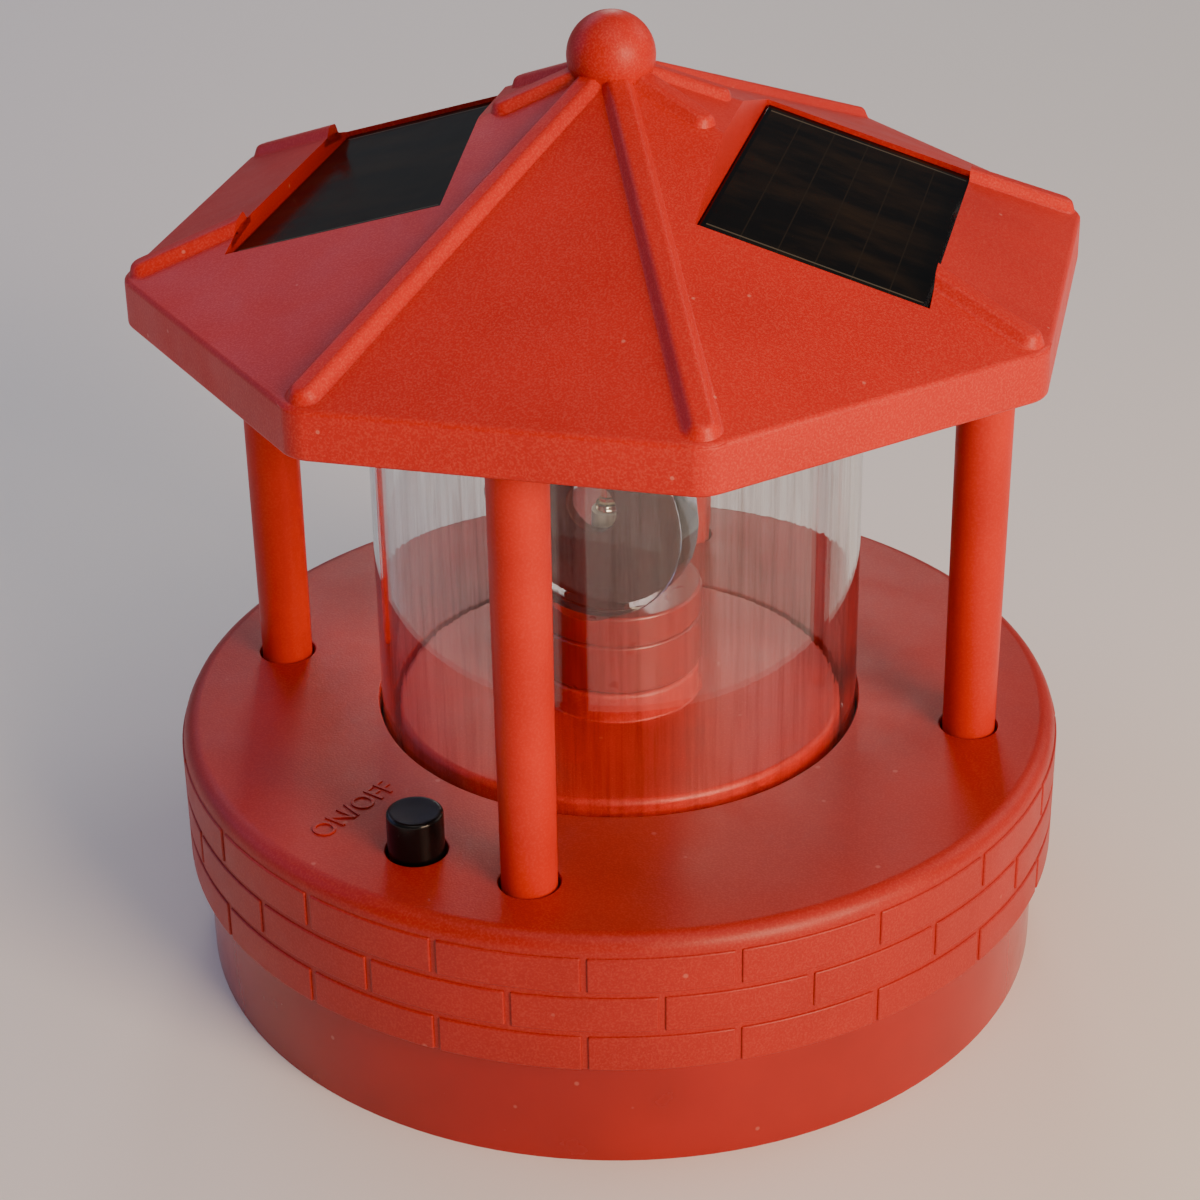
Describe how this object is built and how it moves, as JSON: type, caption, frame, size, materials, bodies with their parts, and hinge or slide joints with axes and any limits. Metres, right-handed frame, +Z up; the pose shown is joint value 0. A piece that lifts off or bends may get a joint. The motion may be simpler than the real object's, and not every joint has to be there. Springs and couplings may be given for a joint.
{
  "type": "garden lighthouse ornament",
  "caption": "Solar lighthouse lamp: an octagonal roof with solar panels on posts, a clear tube round a turning lens head, and a round brick-banded base with a push button.",
  "frame": {"origin": "centre of the lamp's underside, in the plane that it stands on", "axes": "+Z up, the front post stands towards -Y, and the solar panels lie towards +X and -X"},
  "size_m": [0.14, 0.14, 0.1518],
  "materials": {
    "red_plastic": "satin",
    "dark_red_plastic": "matte",
    "solar_cell": "gloss",
    "foam": "matte",
    "clear_tube": "gloss",
    "clear_lens": "gloss",
    "led_body": "gloss",
    "screw_steel": "satin",
    "brass_parts": "satin",
    "pale_plastic": "matte",
    "chassis_plastic": "matte",
    "motor_metal": "satin",
    "switch_plastic": "matte",
    "button_plastic": "gloss",
    "cell_sleeve": "gloss",
    "board_laminate": "satin",
    "lead_red": "satin",
    "lead_black": "satin"
  },
  "bodies": {
    "base": {"roof_cap": "red_plastic", "roof_finial": "red_plastic", "roof_ceiling": "dark_red_plastic", "ceiling_screws": "screw_steel", "solar_panel_right": "solar_cell", "solar_panel_left": "solar_cell", "panel_pad_right": "foam", "panel_pad_left": "foam", "post_front": "red_plastic", "post_right": "red_plastic", "post_back": "red_plastic", "post_left": "red_plastic", "post_screws": "screw_steel", "lamp_tube": "clear_tube", "tube_seal_lower": "foam", "tube_seal_upper": "foam", "base_housing": "red_plastic", "bottom_tray": "red_plastic", "tray_screws": "screw_steel", "battery_door": "red_plastic", "door_screws": "screw_steel", "head_bush": "brass_parts", "lamp_stalk": "pale_plastic", "led": "led_body", "gear_chassis": "chassis_plastic", "chassis_screws": "screw_steel", "gear_motor": "motor_metal", "motor_screws": "screw_steel", "switch_body": "switch_plastic", "switch_screws": "screw_steel", "battery_cell": "cell_sleeve", "contact_plate": "screw_steel", "contact_spring": "screw_steel", "circuit_board": "board_laminate", "board_parts": "switch_plastic", "board_screws": "screw_steel", "panel_lead_right": "lead_red", "panel_lead_left": "lead_red", "battery_leads": "lead_red", "motor_leads": "lead_black", "led_leads": "lead_black", "switch_leads": "lead_black"},
    "lamp_head": {"hub_lower": "red_plastic", "hub_upper": "red_plastic", "lens_holder": "dark_red_plastic", "lens": "clear_lens", "drive_gear": "pale_plastic", "retaining_clip": "screw_steel"},
    "motor_drive": {"motor_shaft": "screw_steel", "motor_pinion": "brass_parts"},
    "button": {"switch_plunger": "pale_plastic", "button_cap": "button_plastic"}
  },
  "joints": [
    {"name": "head_spin", "type": "hinge", "parent": "base", "child": "lamp_head", "pos_m": [0, 0, 0.05], "axis": [0, 0, 1], "continuous": true},
    {"name": "pinion_spin", "type": "hinge", "parent": "base", "child": "motor_drive", "pos_m": [0.01591, 0.01591, 0.03], "axis": [0, 0, 1], "continuous": true},
    {"name": "button_press", "type": "slide", "parent": "base", "child": "button", "axis": [0, 0, -1], "range_m": [0, 0.002], "stiffness_N_per_m": 400}
  ],
  "couplings": [
    {"joint": "pinion_spin", "follows": "head_spin", "ratio": -3}
  ]
}
